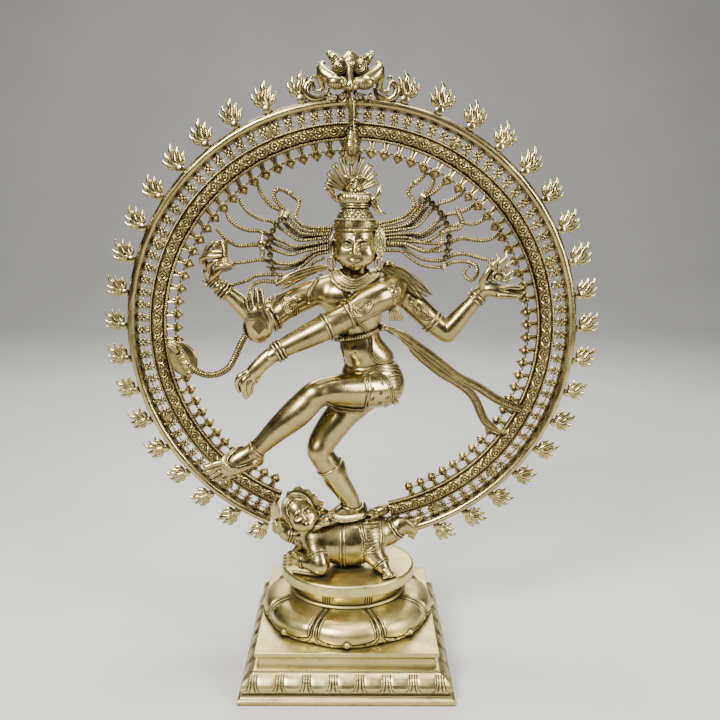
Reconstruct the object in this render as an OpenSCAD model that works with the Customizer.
// Brass nataraja on a lotus pedestal inside an arch of flames, about 1.02 m tall.
// Frame: +Z up, +X to the viewer's right, -Y towards the viewer, origin under the middle of the plinth.
// Left and right in the names below are the viewer's left and right.

/* [Plinth] */
// Width of the bottom slab
plinth_w = 352; // [320:1:380]
// Depth of the bottom slab
plinth_d = 342; // [310:1:370]
// Wall of the hollow castings
wall = 5; // [4:0.5:6]

/* [Lotus pedestal] */
// Width of the lotus dome where it meets the plinth
lotus_w = 298; // [280:1:300]
// Depth of the lotus dome where it meets the plinth
lotus_d = 268; // [250:1:280]
// Width of the oval disc that carries the figures
disc_w = 234; // [220:1:250]
// Depth of the oval disc
disc_d = 190; // [176:1:200]

/* [Arch of flames] */
// Height of the arch's centre above the table
arch_z = 581; // [570:1:590]
// Radius of the rim tube's centre line
rim_r = 364; // [360:1:368]
// Radius of the round rim tube
rim_tube = 5.75; // [5:0.25:6.5]
// Flames round the rim
flame_count = 38; // [30:1:44]
// Flowers in the openwork between rim and band
flower_count = 94; // [80:1:96]
// Pendants inside the band
pendant_count = 74; // [60:1:76]

/* [Hidden] */
$fn = 96;
brass = [0.72, 0.62, 0.35];
bright_brass = [0.80, 0.71, 0.44];
dark_brass = [0.52, 0.44, 0.25];
plate_brass = [0.62, 0.56, 0.34];

// The arch was fitted a little to one side of the plinth, as on a hand-built statue.
base_x = -2;
arch_x = 4;

// Heights of the pedestal's levels
slab_h = 9;
petal_low = 14.5;
petal_high = 45;
recess_high = 67;
plinth_h = 79;
lotus_h = 42;
neck_z = plinth_h + lotus_h;
disc_z = 147;
disc_h = 21;
disc_top = disc_z + disc_h;
stud_x = 2;
stud_y = -14;
stud_r = 5;

// Radii of the arch's strips, outwards in
rim_in = rim_r - rim_tube;
flower_r = rim_r - 17;
band_r = rim_r - 42.5;
band_half = 9.5;
bead_r = 2.4;
pendant_out = band_r - 14;
pendant_in = pendant_out - 26;
arch_front = 12;
rim_start = -73;
rim_sweep = 320;
band_start = -78;
band_sweep = 325;

// ---------- helpers ----------

// A ball at a station [x, y, z, r]
module ball(s, sides = 12) {
    translate([s[0], s[1], s[2]]) sphere(r = s[3], $fn = sides);
}

// A limb of tapering round segments through a list of stations
module limb(stations, sides = 12) {
    for (i = [0 : len(stations) - 2])
        hull() {
            ball(stations[i], sides);
            ball(stations[i + 1], sides);
        }
}

// A thin strand of constant radius through a list of points
module strand(points, r, sides = 5) {
    for (i = [0 : len(points) - 2])
        hull() {
            translate(points[i]) sphere(r = r, $fn = sides);
            translate(points[i + 1]) sphere(r = r, $fn = sides);
        }
}

// A flat ribbon through a list of points, w high and t thick
module ribbon(points, w, t) {
    for (i = [0 : len(points) - 2])
        hull() {
            translate(points[i]) cube([t, t, w], center = true);
            translate(points[i + 1]) cube([t, t, w], center = true);
        }
}

// Turns +Z to point along v
module along(v) {
    spin = atan2(v[1], v[0]);
    lean = acos(v[2] / norm(v));
    rotate([0, lean, spin]) children();
}

// A round ring at p whose axis points along v
module ring_at(p, v, ring, wire) {
    translate(p) along(v) rotate_extrude($fn = 64) translate([ring, 0]) circle(r = wire, $fn = 24);
}

// A flat round boss at p facing along v
module boss_at(p, v, r, h) {
    translate(p) along(v) cylinder(r = r, h = h, center = true, $fn = 48);
}

// Sweeps a profile round the arch. In the profile, x is the radius and y points to the viewer.
module arch_sweep(start, sweep) {
    translate([arch_x, 0, arch_z]) rotate([90, 0, 0]) rotate([0, 0, start])
        rotate_extrude(angle = sweep, $fn = 240) children();
}

// Places a child at radius r and angle a on the arch, its +X outwards and its +Z to the viewer
module on_arch(r, a) {
    translate([arch_x, 0, arch_z]) rotate([90, 0, 0]) rotate([0, 0, a]) translate([r, 0, 0]) children();
}

// An oval made from a round child of width w, squeezed to depth d
module oval(w, d) {
    translate([base_x, 0, 0]) scale([1, d / w, 1]) children();
}

// ---------- pedestal ----------

// A square moulding turned with four sides, so that its corners are mitred
module square_turned(points) {
    translate([base_x, 0, 0]) scale([1, plinth_d / plinth_w, 1]) rotate(45)
        scale([sqrt(2), sqrt(2), 1]) rotate_extrude($fn = 4) polygon(points);
}

module plinth() {
    hw = plinth_w / 2;
    bulge = [for (a = [0 : 15 : 90]) [hw - 21 + 13 * cos(a), 22 + (petal_high - 22) * sin(a)]];
    outside = concat(
        [[0, 0], [hw, 0], [hw, slab_h], [hw - 5, slab_h + 1.5], [hw - 6.5, petal_low - 1],
         [hw - 10, petal_low], [hw - 8, petal_low + 3]],
        bulge,
        [[hw - 24.5, petal_high], [hw - 24.5, petal_high + 4.5], [hw - 32, petal_high + 5.5],
         [hw - 32, recess_high], [hw - 30, recess_high + 3], [hw - 26, recess_high + 4.5],
         [hw - 26, plinth_h], [0, plinth_h]]);
    inside = [[0, -1], [hw - wall - 9, -1], [hw - wall - 9, petal_low], [hw - wall - 16, 24],
              [hw - wall - 32, petal_high], [hw - wall - 34, plinth_h - wall], [0, plinth_h - wall]];
    color(plate_brass) difference() {
        square_turned(outside);
        square_turned(inside);
        oval(lotus_w, lotus_d) translate([0, 0, plinth_h / 2])
            cylinder(r = lotus_w / 2 - 4 * wall, h = plinth_h, $fn = 48);
    }
}

// A closed profile carried round an oval of eight scalloped petals, as a shell with straight facets
module petalled_shell(profile, squeeze, scallop) {
    sides = 48;
    count = len(profile);
    lobe = [for (i = [0 : sides - 1]) 1 - scallop * (1 - abs(cos(4 * (360 * i / sides + 90))))];
    points = [for (i = [0 : sides - 1], p = profile)
        let (a = 360 * i / sides) [p[0] * lobe[i] * cos(a), p[0] * lobe[i] * squeeze * sin(a), p[1]]];
    faces = [for (i = [0 : sides - 1], j = [0 : count - 1], half = [0, 1])
        let (near = i * count, far = ((i + 1) % sides) * count, next = (j + 1) % count)
        half == 0 ? [near + j, near + next, far + j] : [near + next, far + next, far + j]];
    polyhedron(points, faces);
}

module lotus_dome() {
    hw = lotus_w / 2;
    outside = [for (a = [0 : 16 : 80]) [hw - 50 + 50 * cos(a), plinth_h + 4 + (lotus_h - 8) * sin(a)]];
    inside = [for (a = [66 : -22 : 22]) [hw - 50 + (50 - wall) * cos(a), plinth_h + (lotus_h - 9) * sin(a)]];
    profile = concat([[hw - wall, plinth_h], [hw - 2, plinth_h]], outside,
                     [[hw - 50, neck_z - 3], [hw - 54, neck_z - 8]], inside);
    color(brass) translate([base_x, 0, 0]) petalled_shell(profile, lotus_d / lotus_w, 0.03);
}

module pedestal_neck() {
    hw = disc_w / 2 - 15;
    inner = hw - 6 - wall;
    color(brass) oval(disc_w, disc_d) rotate_extrude() polygon(concat(
        [[inner, neck_z - 3], [hw, neck_z - 3]],
        [for (a = [-75 : 30 : 75]) [hw + 2.6 * cos(a), neck_z + 2.6 * sin(a)]],
        [for (a = [0 : 15 : 60]) [hw - 6 + 18 * (1 - cos(a)), neck_z + 4 + 24 * sin(a)]],
        [[hw + 4, disc_z], [inner, disc_z]]));
}

module pedestal_disc() {
    hw = disc_w / 2;
    color(bright_brass) difference() {
        oval(disc_w, disc_d) rotate_extrude() polygon([
            [0, disc_z + 8], [hw - 16, disc_z + 8], [hw - 20, disc_z], [hw - 2, disc_z],
            [hw, disc_z + 3], [hw, disc_top - 3], [hw - 2, disc_top - 0.8], [hw - 4, disc_top], [0, disc_top]]);
        translate([stud_x, stud_y, disc_z]) cylinder(r = stud_r + 0.25, h = 3 * disc_h, center = true);
    }
}

module figure_stud() {
    color(dark_brass) translate([stud_x, stud_y, disc_z - 14]) cylinder(r = stud_r, h = disc_h + 20);
}

module stud_washer() {
    color(dark_brass) translate([stud_x, stud_y, disc_z + 5.8]) difference() {
        cylinder(r = 14, h = 2);
        cylinder(r = stud_r + 0.25, h = 9, center = true);
    }
}

module stud_nut() {
    color(dark_brass) translate([stud_x, stud_y, disc_z - 2.4]) difference() {
        cylinder(r = 9.8, h = 8, $fn = 6);
        cylinder(r = stud_r + 0.05, h = 30, center = true);
    }
}

// ---------- the dwarf underfoot ----------

module dwarf_body() {
    color(brass) difference() {
        union() {
            limb([[-62, -22, 216, 22], [-48, -21, 213, 27], [-30, -20, 212, 29], [-10, -20, 211, 29],
                  [8, -18, 212, 30], [24, -12, 216, 29], [36, 0, 222, 25]]);
            limb([[-72, -27, 243, 15], [-62, -23, 228, 20]]);
            limb([[8, -14, 206, 32], [34, 4, 212, 27]]);
        }
        translate([stud_x, stud_y, disc_top]) cylinder(r = stud_r + 0.2, h = 42, center = true);
    }
}

module dwarf_head() {
    color(brass) {
        limb([[-85, -36, 274, 21], [-82, -34, 268, 22], [-79, -34, 258, 17], [-76, -31, 250, 14]]);
        limb([[-87, -22, 280, 25], [-90, -14, 288, 21], [-95, -8, 300, 12], [-102, -6, 310, 6]]);
        limb([[-88, -14, 292, 18], [-84, -6, 306, 9], [-85, -4, 314, 4]]);
        limb([[-76, -14, 290, 16], [-60, -6, 298, 9], [-52, -4, 302, 5]]);
        limb([[-72, -14, 280, 16], [-50, -4, 286, 9], [-40, -2, 285, 5]]);
    }
}

module dwarf_front_arm() {
    color(brass) {
        limb([[-58, -34, 216, 18], [-50, -46, 203, 16], [-44, -55, 190, 15.5]]);
        limb([[-44, -55, 190, 15.5], [-66, -47, 188, 13], [-82, -40, 187, 11], [-92, -36, 188, 12]]);
        for (k = [0 : 3]) limb([[-96, -36, 193 - 4 * k, 3.4], [-104, -32, 198 - 4.5 * k, 3],
                                [-108, -30, 195 - 4.5 * k, 2.8]], 7);
    }
}

module dwarf_knife_arm() {
    color(brass) {
        limb([[-76, -24, 236, 15], [-90, -26, 232, 14], [-106, -30, 233, 12], [-112, -32, 240, 10]]);
        limb([[-112, -32, 240, 10], [-119, -33, 247, 9]]);
        for (k = [0 : 3]) limb([[-117, -41, 244 + 4.5 * k, 3], [-124, -41, 245 + 4.5 * k, 3],
                                [-128, -36, 247 + 4.5 * k, 2.8]], 7);
    }
}

module dwarf_knife() {
    color(bright_brass) {
        translate([-125, -32, 236]) cylinder(r = 2.6, h = 24);
        translate([-125, -32, 260]) cylinder(r1 = 2.6, r2 = 7.5, h = 10);
        translate([-125, -32, 270]) cylinder(r1 = 7.5, r2 = 6, h = 10);
        translate([-125, -32, 280]) cylinder(r1 = 6, r2 = 1, h = 17);
    }
}

module dwarf_snake_head() {
    color(brass) limb([[-93, -24, 192, 7], [-86, -20, 200, 8.5], [-80, -22, 206, 9], [-84, -26, 213, 7],
                       [-89, -28, 219, 5], [-92, -28, 224, 2.5]], 12);
}

module dwarf_stick() {
    color(dark_brass) translate([-94, -48, 171.2]) along([42, -12, 0]) cylinder(r1 = 3.2, r2 = 2.2, h = 44);
}

module dwarf_front_leg() {
    color(brass) {
        limb([[32, -14, 216, 24], [32, -25, 205, 19], [44, -32, 194, 15], [56, -38, 184, 10], [58, -42, 178, 9]]);
        limb([[58, -42, 178, 9], [63, -52, 173, 6], [66, -62, 172, 4]]);
        for (k = [0 : 4]) limb([[58 + 4 * k, -62 + 2 * k, 172.5, 3.4], [58 + 4.4 * k, -69 + 2.6 * k, 171.4, 3]], 7);
    }
}

module dwarf_rear_leg() {
    color(brass) {
        limb([[42, 6, 224, 24], [60, 8, 218, 22], [76, 10, 217, 20], [90, 13, 224, 15], [100, 14, 230, 11]]);
        limb([[100, 14, 230, 11], [92, 12, 243, 9], [84, 10, 254, 9], [94, 11, 246, 8]]);
        limb([[100, 14, 230, 11], [112, 14, 232, 8], [122, 12, 231, 6]]);
    }
}

// ---------- the dancing figure ----------

module torso() {
    color(brass) {
        limb([[8, -8, 686, 18], [7, -6, 668, 19], [5, -5, 652, 24], [5, -5, 632, 30], [10, -6, 606, 29],
              [17, -6, 577, 27], [27, -7, 554, 31], [33, -6, 534, 33], [36, -4, 522, 33]]);
        limb([[5, -5, 652, 24], [-44, -2, 650, 19], [-24, -8, 630, 29]]);
        limb([[5, -5, 652, 24], [62, 0, 650, 20], [34, -8, 628, 30]]);
        limb([[-24, -8, 630, 29], [34, -8, 628, 30], [20, -6, 596, 28], [-8, -6, 606, 24]]);
        limb([[24, -6, 538, 34], [46, -5, 532, 33]]);
    }
}

module loincloth() {
    color(brass) {
        limb([[24, -6, 517, 34], [50, -4, 514, 36], [56, 0, 496, 36], [56, 2, 482, 34]]);
        limb([[24, -8, 506, 33], [10, -22, 494, 32], [40, -10, 484, 33]]);
        limb([[56, 2, 482, 34], [42, -6, 466, 30], [24, -12, 458, 28]]);
    }
}

module standing_leg() {
    color(brass) {
        limb([[30, -8, 462, 28], [10, -14, 450, 27.5], [-14, -20, 434, 27.5], [-36, -26, 414, 25.5],
              [-53, -28, 388, 21], [-44, -24, 368, 21], [-26, -18, 345, 22.5], [-10, -12, 316, 18],
              [5, -8, 288, 14.5], [10, -5, 268, 14]]);
        limb([[12, -4, 260, 14], [-8, -14, 258, 12], [-28, -26, 256, 10], [-44, -34, 254, 8]]);
        for (k = [0 : 3]) limb([[-44 + 5 * k, -32 - 5 * k, 253, 4.4], [-54 + 5 * k, -40 - 5 * k, 252, 3.6]], 7);
    }
}

module raised_leg() {
    color(brass) {
        limb([[30, -18, 492, 30], [-4, -42, 494, 29], [-30, -56, 496, 26.5], [-47, -62, 494, 24], [-70, -64, 478, 22],
              [-100, -70, 452, 21], [-130, -73, 424, 17], [-152, -75, 402, 14]]);
        limb([[-150, -70, 392, 14], [-168, -76, 388, 13], [-186, -80, 378, 12], [-200, -84, 372, 10]]);
        for (k = [0 : 4]) limb([[-196 + 4 * k, -84, 380 - 5.5 * k, 5], [-214 + 3.6 * k, -86, 372 - 5 * k, 4.2],
                                [-230 + 5.5 * k, -86, 369 - 5 * k, 3.8]], 7);
    }
}

module crossing_arm() {
    color(brass) {
        limb([[68, -10, 654, 20], [50, -22, 648, 19.5], [14, -46, 630, 19], [-20, -62, 615, 18.5],
              [-60, -74, 596, 17.5], [-96, -85, 578, 14.5], [-121, -92, 564, 12.5]]);
        limb([[-121, -92, 564, 12.5], [-138, -96, 552, 13], [-148, -98, 541, 11]]);
        for (k = [0 : 3]) limb([[-143 - 3.5 * k, -99 + 2.6 * k, 544 - 2 * k, 4.6],
                                [-157 - 3 * k, -99 + 2.6 * k, 526 - 1.4 * k, 4.1],
                                [-158 - 5 * k, -97 + 2.6 * k, 504 + 2.6 * k, 3.4]], 7);
        limb([[-134, -92, 545, 5], [-142, -88, 528, 4.4], [-147, -86, 517, 3.6]], 7);
    }
}

module blessing_arm() {
    color(brass) {
        limb([[-46, -6, 650, 20], [-84, -14, 630, 21], [-124, -22, 606, 20], [-152, -28, 594, 18],
              [-150, -48, 592, 15.5], [-144, -66, 596, 12.5], [-140, -76, 604, 12]]);
        limb([[-140, -77, 608, 13], [-136, -78, 626, 12], [-145, -78, 626, 12], [-141, -77, 610, 13]]);
        for (k = [0 : 3]) limb([[-153 + 8.4 * k, -78, 632, 4.4], [-155 + 8.4 * k, -77, 648, 4],
                                [-156 + 8.2 * k, -76, 658, 3.4]], 7);
        limb([[-127, -80, 614, 4.8], [-121, -82, 628, 4.2], [-120, -82, 638, 3.4]], 7);
    }
}

module drum_arm() {
    color(brass) {
        limb([[-42, 18, 654, 19], [-84, 20, 636, 19], [-128, 22, 616, 19], [-168, 22, 604, 17],
              [-192, 17, 627, 16], [-217, 12, 652, 12.5], [-228, 8, 666, 12], [-233, 7, 682, 11]]);
        limb([[-232, 2, 688, 5], [-238, -2, 706, 4.4], [-232, -4, 722, 3.8]], 7);
        limb([[-230, 0, 690, 4.8], [-222, -12, 700, 4.2], [-208, -15, 708, 3.8]], 7);
        limb([[-228, 0, 684, 4.8], [-218, -14, 690, 4.2], [-202, -17, 697, 3.6]], 7);
        limb([[-228, 12, 690, 4.8], [-218, 16, 704, 4.2], [-206, 13, 712, 3.8]], 7);
    }
}

module flame_arm() {
    color(brass) {
        limb([[72, 12, 648, 20], [100, 14, 628, 20.5], [134, 14, 600, 20], [162, 12, 580, 18],
              [182, 9, 602, 17], [200, 7, 628, 14.5], [212, 6, 647, 12], [226, 4, 660, 12]]);
        limb([[226, 4, 660, 12], [236, 2, 663, 12], [248, 0, 661, 10]]);
        for (k = [0 : 3]) limb([[246, -9 + 5.4 * k, 662, 4.4], [264, -9 + 5.8 * k, 660 - k, 4],
                                [279, -8 + 5.6 * k, 657 - k, 3.4]], 7);
        limb([[224, -6, 664, 4.8], [226, -12, 672, 4.4], [232, -15, 680, 3.6]], 7);
    }
}

module head() {
    color(brass) {
        limb([[8, -14, 700, 15], [8, -10, 724, 26], [8, -6, 736, 28], [8, -4, 748, 29], [8, -4, 760, 28]]);
        limb([[8, -12, 716, 22], [8, -8, 732, 27], [8, -7, 750, 28]]);
        limb([[8, -4, 690, 17], [8, -6, 704, 18], [8, -6, 716, 22]]);
    }
}

module crown() {
    color(bright_brass) translate([7, -4, 0]) {
        rotate_extrude() polygon([[0, 762], [34, 757], [35.5, 759], [35.5, 766], [33, 768], [29, 777], [22, 785],
                                  [20, 786], [20.5, 789], [18, 790], [26, 795], [26, 803], [20, 809], [0, 811]]);
    }
}

module crown_feathers() {
    fan = 11;
    color(bright_brass) {
        for (k = [0 : fan - 1]) {
            lean = (k - (fan - 1) / 2) * 8.2;
            reach = 66 - 0.5 * abs(lean);
            translate([6, -3, 800]) rotate([90, 0, 0]) rotate(-lean)
                linear_extrude(height = 4 + 0.3 * k, center = true)
                    polygon([[-2.5, 0], [2.5, 0], [4.6, 0.72 * reach], [3.2, 0.9 * reach], [0, reach],
                             [-3.2, 0.9 * reach], [-4.6, 0.72 * reach]]);
        }
        translate([2, -14, 862]) rotate([90, 0, 0]) linear_extrude(height = 5, center = true)
            polygon([[-5, 0], [5, 0], [10, 12], [8, 20], [0, 30], [-8, 20], [-10, 12]]);
        translate([6, -12, 822]) sphere(r = 12);
    }
}

module crown_crescent() {
    color(bright_brass) translate([36, -12, 796]) rotate([90, 0, 0]) rotate(-18)
        linear_extrude(height = 3.4, center = true) difference() {
            circle(r = 21);
            translate([-8, 3]) circle(r = 19.5);
        }
}

module crown_tassel() {
    color(bright_brass) {
        translate([-28, -10, 806]) along([-6, 0, 8]) cylinder(r1 = 3, r2 = 9, h = 11);
        strand([[-17, -10, 792], [-22, -10, 799], [-28, -10, 806]], 2.6);
    }
}

module earrings() {
    color(bright_brass) {
        ring_at([49, -14, 694], [0.3, 1, 0], 6.5, 2.6);
        ring_at([-31, -14, 694], [-0.3, 1, 0], 6.5, 2.6);
        boss_at([53, -6, 732], [0.3, 1, 0], 17, 4);
        boss_at([-30, -8, 722], [-0.3, 1, 0], 8, 4);
    }
}

module necklace() {
    color(bright_brass) {
        ring_at([7, -9, 671], [0, 0.42, 1], 21.5, 2.4);
        ring_at([7, -12, 662], [0, 0.5, 1], 28, 2.6);
        boss_at([7, -36, 648], [0, 1, 0.2], 7, 5);
    }
}

module sacred_thread() {
    color(dark_brass) strand([[-34, -26, 660], [-12, -38, 636], [6, -40, 612], [12, -36, 590], [22, -36, 568],
                              [40, -40, 545], [60, -30, 530], [70, -12, 520]], 2);
}

module belly_band() {
    color(bright_brass) {
        translate([16, -6, 583]) along([0.25, 0, 1]) rotate_extrude() translate([28.5, 0]) square([3, 10], center = true);
        ring_at([38, -4, 523], [0.2, 0, 1], 36.5, 2.6);
        ring_at([38, -4, 516], [0.2, 0, 1], 36.5, 2.2);
    }
}

module armlets() {
    color(bright_brass) {
        ring_at([-4, -56, 622], [-34, -16, -15], 19.5, 2.4);
        ring_at([8, -50, 627], [-34, -16, -15], 19.5, 2.4);
        ring_at([-100, -18, 620], [-40, -8, -24], 21.5, 2.6);
        ring_at([-108, 21, 625], [-44, 2, -20], 20, 2.4);
        ring_at([112, 14, 619], [34, 2, -28], 21, 2.6);
        boss_at([-84, -36, 628], [0.1, -1, 0], 14, 5);
        boss_at([104, -8, 626], [0.1, -1, 0], 10, 5);
        boss_at([74, -30, 660], [0.2, -1, 0.1], 15, 6);
    }
}

module bangles() {
    wrists = [[[-112, -89, 569], [-25, -7, -14], 14.5], [[-141, -70, 600], [4, -8, 10], 14],
              [[-210, 13, 645], [-25, -5, 25], 14.5], [[206, 6.5, 638], [12, -1, 19], 14.5]];
    color(bright_brass) for (w = wrists, k = [-1 : 1])
        ring_at(w[0] + k * 5.4 * w[1] / norm(w[1]), w[1], w[2], 1.9);
    color(bright_brass) boss_at([-222, 11, 656], [-25, -5, 25], 14.5, 6);
}

module leg_ornaments() {
    color(bright_brass) {
        ring_at([7, -7, 282], [-9, -5, 28], 16.5, 2);
        ring_at([8.5, -6.5, 276], [-9, -5, 28], 16.5, 2);
        ring_at([-47, -26, 374], [10, 6, -22], 22.5, 2);
        ring_at([-146, -74, 409], [-22, -2, -22], 16.5, 2);
        ring_at([-151, -75, 404], [-22, -2, -22], 16, 2);
    }
}

module shoulder_scarves() {
    color(brass) {
        ribbon([[-40, -4, 674], [-64, -2, 676], [-84, 0, 671], [-104, 0, 664], [-122, 2, 655]], 9, 4);
        ribbon([[56, 4, 676], [72, 8, 679], [92, 7, 672], [112, 4, 660], [136, 0, 645]], 10, 4);
    }
}

module flying_sash() {
    color(brass) {
        ribbon([[46, -6, 585], [80, 0, 582], [104, 0, 566], [143, 0, 534], [185, 0, 506], [216, -2, 489],
                [253, -4, 467], [292, -8, 451]], 9, 4);
        ribbon([[80, 3, 576], [112, 2, 545], [149, 1, 514], [191, 0, 487], [212, -2, 466], [230, -8, 432],
                [254, -9, 412]], 9, 4);
    }
}

// ---------- hair ----------

module hair_locks_left() {
    color(brass) {
        strand([[-20, 8, 752], [-64, 12, 752], [-88, 12, 770], [-83, 12, 792], [-100, 12, 808], [-122, 12, 802],
                [-104, 12, 776]], 3.8);
        strand([[-20, 8, 747], [-72, 12, 747], [-100, 12, 771], [-128, 12, 786], [-149, 12, 823]], 3.6);
        strand([[-22, 8, 742], [-72, 12, 741], [-102, 12, 762]], 3.6);
        strand([[-22, 8, 736], [-80, 12, 731], [-112, 12, 750], [-148, 12, 766], [-179, 12, 797]], 3.8);
        strand([[-22, 8, 730], [-80, 12, 722], [-106, 12, 727], [-142, 12, 744], [-180, 12, 752],
                [-201, 12, 774]], 3.8);
        strand([[-22, 8, 723], [-96, 12, 708], [-124, 12, 716], [-182, 12, 722], [-217, 12, 747]], 3.8);
        strand([[-22, 8, 718], [-58, 12, 713], [-98, 12, 693], [-146, 12, 699], [-194, 12, 692]], 3.8);
        strand([[-24, 8, 712], [-58, 12, 706], [-87, 12, 682], [-106, 12, 674], [-155, 12, 673],
                [-198, 12, 656]], 3.8);
        strand([[-28, 8, 704], [-60, 12, 695], [-97, 12, 669], [-144, 12, 664], [-169, 12, 643]], 3.8);
    }
}

module hair_locks_right() {
    color(brass) {
        strand([[34, 8, 762], [80, 12, 768], [103, 12, 788], [95, 12, 815], [114, 12, 832], [134, 12, 832],
                [122, 12, 806]], 3.8);
        strand([[34, 8, 757], [84, 12, 764], [113, 12, 794], [142, 12, 816], [154, 12, 834]], 3.6);
        strand([[34, 8, 752], [88, 12, 757], [118, 12, 789]], 3.6);
        strand([[34, 8, 748], [94, 12, 751], [132, 12, 781], [164, 12, 798], [184, 12, 817]], 3.8);
        strand([[34, 8, 742], [116, 12, 743], [144, 12, 765], [174, 12, 778], [204, 12, 799]], 3.8);
        strand([[34, 8, 736], [109, 12, 731], [138, 12, 738], [158, 12, 752], [202, 12, 760], [229, 12, 776]], 3.8);
        strand([[34, 8, 729], [107, 12, 720], [123, 12, 715], [147, 2, 728], [156, -4, 750], [179, -4, 762],
                [170, -4, 784]], 4);
        strand([[158, 8, 728], [182, 12, 736], [226, 12, 734], [248, 12, 753]], 3.6);
        strand([[34, 8, 724], [80, 12, 723], [117, 12, 703], [152, 12, 700], [186, 12, 711], [237, 12, 702]], 3.8);
        strand([[36, 8, 717], [81, 12, 715], [116, 12, 693], [152, 12, 689], [191, 12, 698], [210, 12, 680],
                [191, 12, 673]], 3.8);
    }
}

module hair_clasps() {
    left = [[-104, 772], [-114, 762], [-125, 746], [-130, 728], [-130, 708], [-126, 687]];
    right = [[117, 801], [129, 793], [143, 779], [153, 761], [159, 739], [158, 716]];
    color(bright_brass) for (p = concat(left, right)) boss_at([p[0], 6, p[1]], [0, 1, 0], 6.5, 13);
}

module skull_pendant() {
    color(dark_brass) {
        translate([-143, 2, 722]) sphere(r = 7);
        translate([-143, 2, 700]) cylinder(r1 = 1.6, r2 = 4, h = 17);
        translate([-143, 2, 727]) cylinder(r1 = 4, r2 = 2.4, h = 18);
    }
}

// ---------- attributes in the hands ----------

module cobra() {
    color(brass) {
        limb([[-150, -58, 592, 4.5], [-163, -55, 581, 4.8], [-176, -48, 560, 5], [-193, -40, 538, 5],
              [-220, -34, 517, 5], [-245, -30, 516, 6]], 10);
        limb([[-245, -30, 516, 6], [-262, -30, 524, 14], [-270, -30, 540, 17], [-280, -30, 552, 10],
              [-289, -30, 559, 4]], 12);
    }
}

module drum() {
    color(bright_brass) translate([-212, 0, 703]) along([-16, 12, 37])
        rotate_extrude() polygon([[0, -21], [15.5, -21], [17, -19], [17, -17], [9, 0], [17, 17], [17, 19],
                                  [15.5, 21], [0, 21]]);
}

module hand_flame() {
    tips = [[-20, 24], [-12, 34], [2, 26], [15, 42], [16, 24], [28, 30], [31, 17]];
    color(bright_brass) {
        translate([237, 0, 676]) rotate([90, 0, 0]) linear_extrude(height = 7, center = true) {
            circle(r = 9);
            for (t = tips) polygon([[-7, 2], [7, -2], [t[0], t[1]]]);
        }
    }
}

// ---------- the arch of flames ----------

module arch_rim() {
    color(bright_brass) arch_sweep(rim_start, rim_sweep) {
        translate([rim_r, 4]) circle(r = rim_tube, $fn = 48);
        translate([rim_r, -6]) square([2 * rim_tube + 8, 4], center = true);
        translate([rim_r, -2]) square([5, 8], center = true);
    }
}

module arch_band() {
    color(brass) arch_sweep(band_start, band_sweep) {
        intersection() {
            translate([band_r, 0]) scale([1, arch_front / band_half]) circle(r = band_half, $fn = 48);
            translate([band_r - 20, -2]) square([40, 40]);
        }
        translate([band_r, -1]) square([2 * (band_half + 2 * bead_r), 4], center = true);
        for (s = [-1, 1]) translate([band_r + s * (band_half + bead_r), 2]) circle(r = bead_r, $fn = 24);
    }
}

module flower() {
    for (q = [45 : 90 : 315]) rotate(q) translate([5, 0]) circle(r = 3.6, $fn = 24);
    square([25, 3], center = true);
}

module arch_flowers() {
    step = band_sweep / flower_count;
    color(brass) for (k = [0 : flower_count - 1])
        on_arch(flower_r, band_start + (k + 0.5) * step) translate([0, 0, -1]) linear_extrude(height = 5) flower();
}

module arch_joint_plaques() {
    spots = [-65, -45, 20, 62, 112, 155, 205, 231];
    color(plate_brass) for (a = spots) on_arch(flower_r + 1, a) translate([0, 0, 5]) rotate(90)
        linear_extrude(height = 3) polygon([[-7, -9], [7, -9], [8, 3], [0, 12], [-8, 3]]);
}

module arch_pendants() {
    step = (band_sweep - 8) / pendant_count;
    depth = pendant_out - pendant_in;
    color(brass) for (k = [0 : pendant_count - 1])
        on_arch(pendant_out, band_start + 6 + (k + 0.5) * step) rotate([0, -90, 0])
            rotate_extrude($fn = 24) polygon([[0, 0], [3.4, 0], [2.2, 6], [4.6, 11], [4.8, 15], [2.8, 21],
                                              [0.8, depth], [0, depth]]);
}

// One flame: a base bead and five tongues that lean towards the top of the arch
module flame() {
    tips = [[14, -13], [25, -9], [33, -1], [30, 9], [21, 15]];
    cylinder(r = 5, h = 7, center = true, $fn = 24);
    linear_extrude(height = 5, center = true)
        for (t = tips) polygon([[1, -4], [1, 4], [0.55 * t[0] - 0.3 * t[1] + 2, 0.8 * t[1] + 3.4], [t[0], t[1]],
                                [0.55 * t[0] + 0.3 * t[1] + 2, 0.8 * t[1] - 3.4]]);
}

module arch_flames() {
    step = (rim_sweep + 4) / (flame_count + 0.6);
    color(bright_brass) for (k = [0 : flame_count - 1]) {
        a = rim_start + (k + 0.4) * step;
        if (abs(a - 90) > 4)
            on_arch(rim_r + rim_tube + 4, a) translate([0, 0, 3]) mirror([0, a > 90 ? 1 : 0, 0]) flame();
    }
}

module arch_foot_right() {
    color(brass) {
        translate([104, 0, 240]) rotate([90, 0, 0]) rotate(25) linear_extrude(height = 14, center = true)
            polygon([[-26, -10], [14, -13], [20, 0], [10, 14], [-22, 12], [-34, 0]]);
        translate([58, 2, 262]) rotate([90, 0, 0]) rotate(10) linear_extrude(height = 16, center = true)
            polygon([[-24, -10], [2, -12], [8, 0], [2, 12], [-20, 9], [-32, -2]]);
    }
}

module arch_foot_left() {
    color(brass) {
        translate([-60, 6, 262]) rotate([90, 0, 0]) rotate(-12) linear_extrude(height = 14, center = true)
            polygon([[24, -10], [-6, -12], [-10, 0], [-4, 12], [22, 9], [32, -2]]);
        translate([-112, 0, 240]) rotate([90, 0, 0]) rotate(-25) linear_extrude(height = 12, center = true)
            polygon([[26, -10], [-10, -13], [-16, 0], [-8, 14], [24, 10]]);
    }
}

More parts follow.
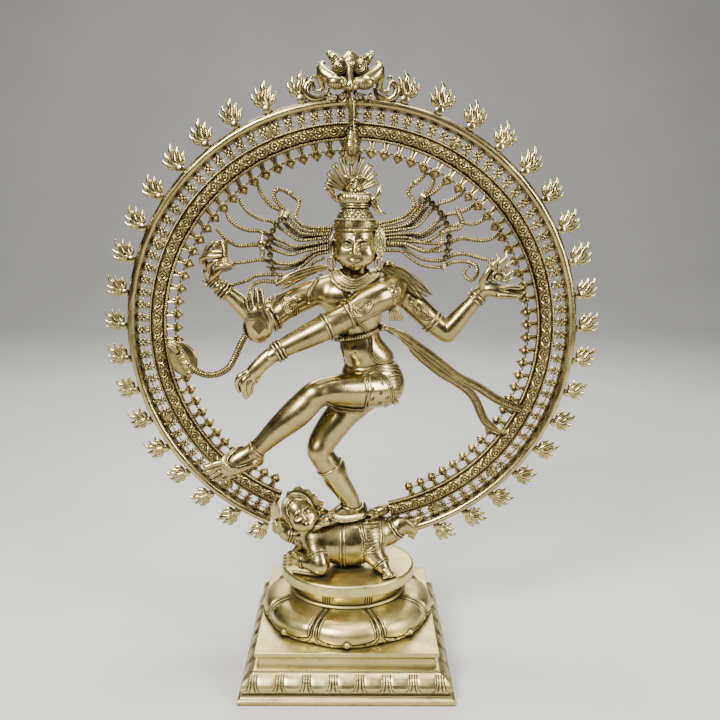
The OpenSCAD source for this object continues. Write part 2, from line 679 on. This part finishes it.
module arch_pins() {
    spots = [[98, 238], [110, 245], [62, 264], [-62, 264], [-102, 238], [-114, 245]];
    color(dark_brass) for (p = spots) translate([p[0], 0, p[1]]) rotate([90, 0, 0]) {
        translate([0, 0, -11]) cylinder(r = 2.5, h = 20);
        translate([0, 0, -13]) cylinder(r = 4.5, h = 3);
    }
}

// The beast mask at the top of the arch
module arch_mask() {
    color(brass) {
        limb([[4, -12, 985, 19], [4, -14, 996, 17], [4, -10, 1006, 9], [4, -8, 1014, 4.5]], 10);
        limb([[4, -18, 990, 14], [4, -26, 976, 9], [4, -24, 966, 7]], 10);
        for (s = [-1, 1]) {
            limb([[4 + s * 12, -16, 968, 9], [4 + s * 26, -14, 972, 13], [4 + s * 38, -10, 982, 11],
                  [4 + s * 46, -6, 995, 4.5]], 9);
            limb([[4 + s * 14, -14, 990, 12], [4 + s * 22, -10, 1000, 9], [4 + s * 32, -8, 1008, 6],
                  [4 + s * 34, -8, 1016, 3.4]], 9);
        }
        translate([4, 2, 982]) rotate([90, 0, 0]) cylinder(r = 26, h = 18, center = true, $fn = 40);
    }
}

module mask_scrolls() {
    color(brass) for (s = [-1, 1]) {
        ring_at([4 + s * 58, -4, 962], [0, 1, 0], 9, 4);
        ring_at([4 + s * 56, -6, 978], [0, 1, 0], 5.5, 3);
        ring_at([4 + s * 41, -10, 955], [0, 1, 0], 5, 3);
    }
}

module mask_stem() {
    color(bright_brass) translate([0.5, -20, 886]) rotate([-1.6, 0, 0]) {
        cylinder(r1 = 5, r2 = 7, h = 74, $fn = 48);
    }
}

// ---------- assembly ----------

plinth();
lotus_dome();
pedestal_neck();
pedestal_disc();
figure_stud();
stud_washer();
stud_nut();
dwarf_body();
dwarf_head();
dwarf_front_arm();
dwarf_knife_arm();
dwarf_knife();
dwarf_snake_head();
dwarf_stick();
dwarf_front_leg();
dwarf_rear_leg();
torso();
loincloth();
standing_leg();
raised_leg();
crossing_arm();
blessing_arm();
drum_arm();
flame_arm();
head();
crown();
crown_feathers();
crown_crescent();
crown_tassel();
earrings();
necklace();
sacred_thread();
belly_band();
armlets();
bangles();
leg_ornaments();
shoulder_scarves();
flying_sash();
hair_locks_left();
hair_locks_right();
hair_clasps();
skull_pendant();
cobra();
drum();
hand_flame();
arch_rim();
arch_band();
arch_flowers();
arch_joint_plaques();
arch_pendants();
arch_flames();
arch_foot_left();
arch_foot_right();
arch_pins();
arch_mask();
mask_scrolls();
mask_stem();
